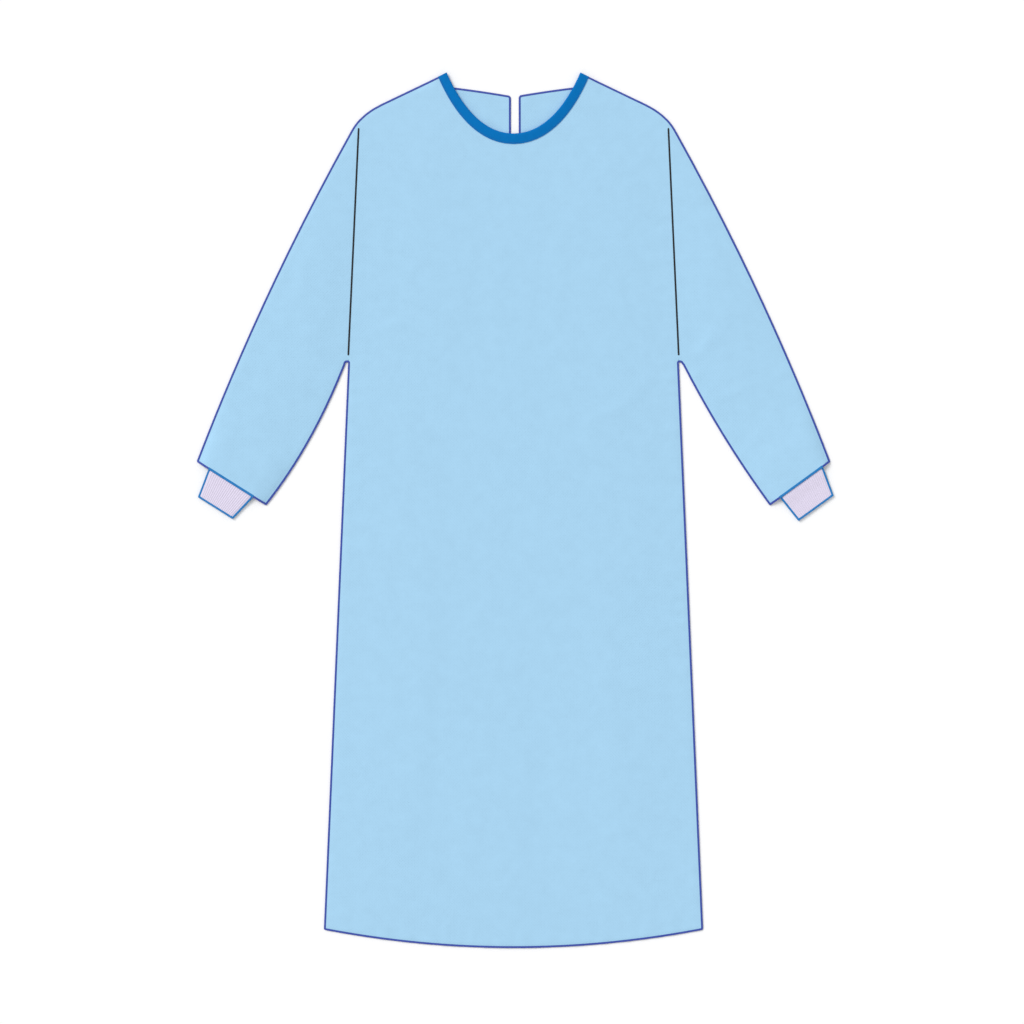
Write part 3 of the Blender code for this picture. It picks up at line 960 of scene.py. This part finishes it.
class GOWN_OT_stage(bpy.types.Operator):
    """Lay a pale floor, and set up soft light and a camera straight above the gown"""

    bl_idname = "gown.stage"
    bl_label = "Stage"

    # The photograph: its side in pixels, and where the gown's centre line and its shoulders' high
    # point lie in it
    PICTURE_SIDE = 1024
    CENTRE_LINE_X = 513.5
    SHOULDER_Y = 72.75
    METRES_PER_PIXEL = 0.001371
    FLOOR_SIDE = 60.0
    KEY_FROM = (-0.75, 0.62, 0.85)  # the way to the lamp

    def execute(self, context):
        settings = context.scene.gown_stage
        self.floor()
        self.camera(context, settings)
        self.light(context, settings)
        context.scene.view_settings.view_transform = "Standard"
        return {"FINISHED"}

    def floor(self):
        half = self.FLOOR_SIDE / 2
        mesh = bpy.data.meshes.new("floor")
        corners = [(-half, -half), (half, -half), (half, half), (-half, half)]
        mesh.from_pydata([(x, y, CAD_BOX[0].z - FLOOR_DROP) for x, y in corners], [], [(0, 1, 2, 3)])
        mesh.materials.append(painted_floor())
        floor = placed("floor", mesh)

    def camera(self, context, settings):
        data = bpy.data.cameras.new("camera")
        data.lens = settings.lens
        seen = self.PICTURE_SIDE * self.METRES_PER_PIXEL
        middle = self.PICTURE_SIDE / 2
        camera = placed("camera", data)
        camera.location = (
            (middle - self.CENTRE_LINE_X) * self.METRES_PER_PIXEL,
            CAD_BOX[1].y - (middle - self.SHOULDER_Y) * self.METRES_PER_PIXEL,
            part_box("front_panel")[0].z + seen * settings.lens / data.sensor_width,
        )
        context.scene.camera = camera

    def light(self, context, settings):
        """Light from all round, and a broad lamp over the gown's left shoulder. The lamp is far off, so
        its light is the same all over the floor."""
        world = bpy.data.worlds.new("studio")
        world.use_nodes = True
        background = world.node_tree.nodes["Background"]
        background.inputs["Color"].default_value = (1.0, 1.0, 1.0, 1.0)
        background.inputs["Strength"].default_value = settings.ambient
        context.scene.world = world
        lamp = bpy.data.lights.new("key", "SUN")
        lamp.energy = settings.key_strength
        lamp.angle = settings.key_width
        key = placed("key", lamp)
        key.rotation_euler = (-Vector(self.KEY_FROM)).to_track_quat("-Z", "Y").to_euler()


class GOWN_OT_panels(bpy.types.Operator):
    """Make the cloth of the body and the sleeves"""

    bl_idname = "gown.panels"
    bl_label = "Panels"

    def execute(self, context):
        self.cut("front_cloth", "front_panel", ["back_cloth_left", "back_cloth_right"],
                 seams=[line(side) for side in SIDES for line in (shoulder_line, side_seam)],
                 hem=[hem_line()],
                 neckline=Edge("front_panel").between("neck_right", "neck_left", "hem_right"))
        for side in SIDES:
            self.cut(f"sleeve_front_cloth_{side}", f"sleeve_front_{side}",
                     [f"sleeve_back_cloth_{side}", f"cuff_knit_{side}"],
                     seams=[overarm("front", side), underarm("front", side)])
            self.cut(f"sleeve_back_cloth_{side}", f"sleeve_back_{side}", ["floor"], on_floor=True)
            self.cut(f"back_cloth_{side}", f"back_panel_{side}", ["floor"], on_floor=True)
        return {"FINISHED"}

    def cut(self, name, node, rests_on, **options):
        """Makes a piece of cloth, and works out its long way: upright for the body, and for a sleeve
        from its edge's middle to the edge's furthest point."""
        material = material_of("spunbond_polypropylene", spunbond_polypropylene)
        piece, edge = cloth(name, node, material, **options)
        way = np.array([0.0, 1.0])
        if node.startswith("sleeve"):
            from_middle = edge - edge.mean(axis=0)
            way = unit(from_middle[np.linalg.norm(from_middle, axis=1).argmax()])


class GOWN_OT_overlock(bpy.types.Operator):
    """Bind every edge of the cloth with overlock stitches"""

    bl_idname = "gown.overlock"
    bl_label = "Overlock"

    UNDER_TAPE = 0.002  # the shoulders' thread starts this far under the neck tape

    def execute(self, context):
        self.bind("hem_front", hem_line(), ["front_cloth"], passes=LONG_PASSES)
        for side in SIDES:
            fronts = ["front_cloth", f"sleeve_front_cloth_{side}"]
            upper = joined(self.shoulder(side), overarm("front", side))
            self.bind(f"upper_seam_{side}", upper, fronts, down_to_floor=True, passes=LONG_PASSES)
            lower = joined(side_seam(side), underarm("front", side))
            self.bind(f"lower_seam_{side}", lower, fronts, down_to_floor=True)
            back = Edge(f"back_panel_{side}")
            for name, start in (("opening", "neck"), ("hem_back", "hem")):
                line = back.between(start, "hem_inner", "armhole")
                self.bind(f"{name}_{side}", line, [f"back_cloth_{side}"])
            self.bind(f"mouth_back_{side}", sleeve_mouth("back", side), [f"sleeve_back_cloth_{side}"])
        return {"FINISHED"}

    def bind(self, name, line, cloths, **options):
        threads(f"overlock_{name}", overlocked(line, cloths, **options), thread("overlock"))

    def shoulder(self, side):
        """The shoulder's edge, from just under the end of the neck tape to the armhole."""
        line = even(shoulder_line(side), MEASURE_STEP, 0)
        band = Edge("neck_binding")
        reach = until(line, band.loop[band.corners[f"outer_{side}"]])
        whole = distances(line)[-1]
        if reach < whole / 2:
            return cut_between(line, reach - self.UNDER_TAPE, whole)
        return cut_between(line, 0.0, reach + self.UNDER_TAPE)


class GOWN_OT_armholes(bpy.types.Operator):
    """Sew the sleeves to the body with flat seams"""

    bl_idname = "gown.armholes"
    bl_label = "Armholes"

    SEAM_SHARE = 0.75  # width of the matching seam, of the dark one over it
    SEAM_HEIGHT = 0.0009
    DARK_HEIGHT = 0.0011
    # The matching seam ends this far from the edges, and comes down there to go under their overlock
    TOP_GAP = 0.0031
    BOTTOM_GAP = 0.0023
    END_DIP = 0.0004
    DIP_REACH = 0.0040

    def execute(self, context):
        settings = context.scene.gown_threads
        for side in SIDES:
            bodies = {"front": "front_cloth", "back": f"back_cloth_{side}"}
            for part, body_cloth in bodies.items():
                edge = Edge(f"sleeve_{part}_{side}").between("top", "underarm", "mouth_outer")
                line = level(edge, settings.pitch / SAMPLES_A_STITCH)
                line[:, 2] = cloth_height([body_cloth, f"sleeve_{part}_cloth_{side}"], line)
                if line[0, 1] < line[-1, 1]:
                    line = line[::-1]
                whole = distances(line)[-1]
                seam = cut_between(line, self.TOP_GAP, whole - self.BOTTOM_GAP)
                at = distances(seam)
                dip = self.END_DIP * (1 - smooth(np.minimum(at, at[-1] - at) / self.DIP_REACH))
                seam[:, 2] -= context.scene.gown_cloth.thickness / 2 + dip
                seam[:, 2] = np.maximum(seam[:, 2], CAD_BOX[0].z + self.SEAM_HEIGHT / 2)
                sewn = bead(seam, settings.armhole_width * self.SEAM_SHARE, self.SEAM_HEIGHT, settings.pitch)
                threads(f"armhole_seam_{part}_{side}", [sewn], thread("matching"))
                # The dark thread is a real thread whose near-black colour is painted shade of the seam's
                # groove
                dark = cut_between(line, settings.armhole_from, whole - settings.armhole_to)
                dark = even(dark, settings.pitch / SAMPLES_A_STITCH, 0)
                stitched = bead(dark, settings.armhole_width, self.DARK_HEIGHT, settings.pitch)
                threads(f"armhole_stitch_{part}_{side}", [stitched], thread("armhole"))
        return {"FINISHED"}


class GOWN_OT_binding(bpy.types.Operator):
    """Fold the tape round the front neck edge and stitch it down"""

    bl_idname = "gown.binding"
    bl_label = "Neck binding"

    ROWS = 150  # along the tape
    FOLD_STEPS = 9
    LEAF_STEPS = 12
    LEAF_DIP = 0.0012  # how far the upper leaf's outer edge comes down from the fold's crest
    STITCH_DIP = 0.0002  # the stitch presses the leaf down by this much
    STITCH_DIP_REACH = 0.0016
    STITCH_LIFT = 0.0001  # the stitch's middle, above the leaf
    STITCH_END = 0.001  # the stitch ends this far from the tape's ends
    PUCKER_HEIGHT = 0.00016
    PUCKER_LENGTHS = (0.006, 0.013)
    PUCKER_SEED = 5
    WIDER = 0.0011  # at the bottom of the neck, where the tape is stretched round the curve

    def execute(self, context):
        settings = context.scene.gown_binding
        fold, outer = self.edges()
        low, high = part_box("neck_binding")
        self.half, middle = (high.z - low.z) / 2, (high.z + low.z) / 2
        self.width = float(np.linalg.norm(outer - fold, axis=1).mean())
        at = distances(fold)
        pucker = self.PUCKER_HEIGHT * ripple(at, self.PUCKER_SEED, *self.PUCKER_LENGTHS)[:, None]
        skins, maps = [], []
        for offset in (0.0, settings.thickness):
            section = self.section(offset, settings)
            share, height = section[:, 0] / self.width, section[:, 1]
            places = fold[:, None] + (outer - fold)[:, None] * share[:, None]
            wave = pucker * np.sin(math.pi * np.clip(share, 0, 1)) * (height > 0)
            places[..., 2] = middle + height + wave
            skins.append(places)
            maps.append(np.stack(np.meshgrid(at, distances(section), indexing="ij"), axis=-1))
        material = material_of("polycotton_bias_tape", bias_tape)
        piece = walled("neck_tape", skins, maps, material)
        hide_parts("neck_binding")
        self.stitch(fold, outer, middle, settings)
        return {"FINISHED"}

    def edges(self):
        """The tape's fold and its outer edge, with as many points each, from left to right."""
        edge = Edge("neck_binding")
        fold = edge.between("left", "right", "outer_right")
        outer = edge.between("outer_left", "outer_right", "right")
        lines = []
        for line in (fold, outer):
            line = line if line[0, 0] < line[-1, 0] else line[::-1]
            lines.append(level(line, distances(line)[-1] / self.ROWS))
        fold, outer = lines
        stretched = np.sin(np.linspace(0, math.pi, len(outer)))[:, None] ** 2
        return fold, outer + self.WIDER * stretched * unit(outer - fold)

    def leaf_height(self, out, settings):
        """The upper leaf's height above the middle of the fold, this far out from the fold."""
        fall = self.LEAF_DIP * smooth((out - self.half) / (self.width - self.half))
        from_stitch = np.abs(out - (self.width - settings.stitch_in))
        dip = self.STITCH_DIP * np.clip(1 - from_stitch / self.STITCH_DIP_REACH, 0, 1) ** 2
        return self.half - fall - dip

    def section(self, offset, settings):
        """The tape's section, this far inside its outer skin, as (distance from the fold, height)."""
        out = np.linspace(self.width, self.half, self.LEAF_STEPS)
        lower = np.column_stack([out, np.full(len(out), offset - self.half)])
        turn = np.radians(np.linspace(270, 90, self.FOLD_STEPS + 1)[1:-1])
        radius = self.half - offset
        fold = np.column_stack([self.half + radius * np.cos(turn), radius * np.sin(turn)])
        upper = np.column_stack([out[::-1], self.leaf_height(out[::-1], settings) - offset])
        return np.vstack([lower, fold, upper])

    def stitch(self, fold, outer, middle, settings):
        """A line of stitches along the upper leaf's outer edge."""
        out = self.width - settings.stitch_in
        line = fold + (outer - fold) * out / self.width
        height = float(self.leaf_height(np.array([out]), settings)[0]) + self.STITCH_LIFT
        line = even(raised(line, middle + height), settings.stitch_length / (2 * SAMPLES_A_STITCH))
        line = cut_between(line, self.STITCH_END, distances(line)[-1] - self.STITCH_END)
        stitches = bead(
            line, NEEDLE_WIDTH, NEEDLE_WIDTH, settings.stitch_length, groove=0.7, slant=0.0,
            sides=NEEDLE_SIDES,
        )
        threads("neck_stitch", [stitches], thread("binding"))


class GOWN_OT_cuffs(bpy.types.Operator):
    """Knit the cuffs, and sew them round and to the sleeves"""

    bl_idname = "gown.cuffs"
    bl_label = "Cuffs"

    ROWS = 44  # along the cuff
    RIBS = 22  # on each of its two layers
    STEPS_A_RIB = 6
    SIDE_SLOPE = 0.004  # the two layers come together over this width at each side
    SIDE_TALL = 0.0024  # of the knit, at its side seams
    END_SLOPE = 0.003  # the ribs flatten over this length at the cuff's end
    END_DIP = 0.0007  # the end's thread presses each layer together by this much
    SIDE_THREAD = 0.0030
    END_THREAD = 0.0016
    THREAD_WIDTH = 0.0032
    SEAM_HEIGHT = 0.0015
    SEAM_PROUD = 0.0005  # of the sleeve's mouth
    SEAM_OVERLAP = 0.0012  # the seam over the cuff and the overlock beside it run past each other

    def execute(self, context):
        for side in SIDES:
            edge = cuff_edge(side)
            first = edge.between("inner_start", "start", "end")
            last = edge.between("inner_end", "end", "start")
            # Both sides run from the inner end outwards, the side that has the cuff on its left first
            rows = [level(line, distances(line)[-1] / self.ROWS) for line in (first, last[::-1])]
            low, tall = self.heights(side, (rows[0] + rows[1]) / 2)
            knitted = [cut_between(line, 0.0, distances(line)[-1] - EDGE_INSET) for line in rows]
            self.knit(side, knitted, low, tall, context)
            self.thread_up(side, rows, low, tall, context)
            self.sew_to_sleeve(side, rows, context)
        return {"FINISHED"}

    def heights(self, side, middle):
        """The height of the cuff's underside along its middle, and how tall the cuff is."""
        low = underside(f"cuff_{side}", middle[1:-1, :2])
        low = eased(np.concatenate([low[:1], low, low[-1:]]))
        return low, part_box(f"cuff_{side}")[1].z - low[0]

    def knit(self, side, rows, low, tall, context):
        settings = context.scene.gown_cuffs
        start, end = rows
        width = np.linalg.norm(end - start, axis=1)[:, None]
        across = np.linspace(0, 1, self.RIBS * self.STEPS_A_RIB + 1)
        ribs = (1 - np.cos(math.tau * self.RIBS * across)) / 2 * settings.rib_height
        at = distances((start + end) / 2)
        free = smooth((at[-1] - at) / self.END_SLOPE)[:, None]
        pressed = self.END_DIP * (1 - free)
        off_side = smooth(np.minimum(across, 1 - across) * width / self.SIDE_SLOPE)
        skins = []
        for inside in (1.0, 0.0):  # the inner skin, then the outer one
            wall = (settings.wall - pressed / 2) * inside
            lie = (tall - self.SIDE_TALL) / 2 * (1 - off_side) + pressed / 2 + wall
            base = settings.rib_height + lie - ribs * (1 - inside) * off_side * free
            inset_by = (self.THREAD_WIDTH / 2 + wall) / width
            place = inset_by + across * (1 - 2 * inset_by)
            place = np.hstack([place, place[:, ::-1]])
            points = start[:, None] + (end - start)[:, None] * place[..., None]
            points[..., 2] = low[:, None] + np.hstack([base, tall - base[:, ::-1]])
            skins.append(points)
        counted = np.concatenate([across, 2 - across[::-1]]) * self.RIBS
        along = np.stack(np.meshgrid(counted, at), axis=-1)
        material = material_of("polyester_rib_knit", rib_knit)
        piece = walled(f"cuff_knit_{side}", skins, [along, along], material, ring=True)
        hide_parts(f"cuff_{side}")

    def thread_up(self, side, rows, low, tall, context):
        """Threads along both sides, and one round each layer's end."""
        settings = context.scene.gown_threads
        step = settings.pitch / SAMPLES_A_STITCH
        beads = []
        inwards = [(end - start) for start, end in (rows, rows[::-1])]
        for line, inward in zip(rows, inwards):
            middle = line + unit(inward) * self.THREAD_WIDTH / 2
            middle = np.column_stack([middle[:, :2], low + tall / 2])
            beads.append(bead(even(middle, step), self.THREAD_WIDTH, self.SIDE_THREAD, settings.pitch))
        end = np.array([rows[0][-1], rows[1][-1]])
        out = unit(rows[0][-1] - rows[0][-2] + rows[1][-1] - rows[1][-2])
        for height in (low[-1] + self.END_THREAD / 2, low[-1] + tall - self.END_THREAD / 2):
            middle = raised(end - out * self.THREAD_WIDTH / 2, height)
            beads.append(bead(even(middle, step), self.THREAD_WIDTH, self.END_THREAD, settings.pitch))
        threads(f"cuff_thread_{side}", beads, thread("cuff"))

    def sew_to_sleeve(self, side, rows, context):
        """The seam along the sleeve's mouth: cuff thread over the cuff, overlock on both sides of it."""
        settings = context.scene.gown_threads
        mouth = level(sleeve_mouth("front", side), MEASURE_STEP / 2, 0)
        at = distances(mouth)
        crossed = [np.linalg.norm(mouth[:, None] - raised(line, 0.0), axis=-1).min(axis=1) for line in rows]
        first, last = sorted(at[away.argmin()] for away in crossed)
        cloths = [f"sleeve_front_cloth_{side}"]
        beads = overlocked(cut_between(mouth, 0.0, first + self.SEAM_OVERLAP), cloths)
        beads += overlocked(cut_between(mouth, last - self.SEAM_OVERLAP, at[-1]), cloths)
        threads(f"overlock_mouth_front_{side}", beads, thread("overlock"))
        seam = cut_between(mouth, first - self.SEAM_OVERLAP, last + self.SEAM_OVERLAP)
        seam = even(seam, settings.pitch / SAMPLES_A_STITCH)
        seam = seam + left_of(seam) * (settings.mouth_width / 2 - self.SEAM_PROUD)
        seam[:, 2] = cloth_height(cloths, seam) - context.scene.gown_cloth.thickness / 2
        sewn = bead(seam, settings.mouth_width, self.SEAM_HEIGHT, settings.pitch)
        threads(f"cuff_seam_{side}", [sewn], thread("cuff"))


class GOWN_PT_panel(bpy.types.Panel):
    """Sizes, colours and operators of the gown"""

    bl_idname = "GOWN_PT_panel"
    bl_label = "Visitor gown"
    bl_space_type = "VIEW_3D"
    bl_region_type = "UI"
    bl_category = "Gown"

    def draw(self, context):
        for operator, settings in STEPS:
            box = self.layout.box()
            box.operator(operator.bl_idname)
            if settings:
                group = getattr(context.scene, settings)
                for name in group.bl_rna.properties.keys():
                    if name not in ("rna_type", "name"):
                        box.prop(group, name)


STEPS = (
    (GOWN_OT_stage, "gown_stage"),
    (GOWN_OT_panels, "gown_cloth"),
    (GOWN_OT_overlock, "gown_threads"),
    (GOWN_OT_armholes, None),
    (GOWN_OT_binding, "gown_binding"),
    (GOWN_OT_cuffs, "gown_cuffs"),
)
SETTINGS = {
    "gown_stage": GownStage,
    "gown_cloth": GownCloth,
    "gown_threads": GownThreads,
    "gown_binding": GownBinding,
    "gown_cuffs": GownCuffs,
}


def register():
    for group in SETTINGS.values():
        bpy.utils.register_class(group)
    for name, group in SETTINGS.items():
        setattr(bpy.types.Scene, name, bpy.props.PointerProperty(type=group))
    for operator, _ in STEPS:
        bpy.utils.register_class(operator)
    bpy.utils.register_class(GOWN_PT_panel)


def unregister():
    bpy.utils.unregister_class(GOWN_PT_panel)
    for operator, _ in STEPS:
        bpy.utils.unregister_class(operator)
    for name, group in SETTINGS.items():
        delattr(bpy.types.Scene, name)
        bpy.utils.unregister_class(group)


def main():
    register()
    for operator, _ in STEPS:
        group, name = operator.bl_idname.split(".")
        getattr(getattr(bpy.ops, group), name)()


if __name__ == "__main__":
    main()
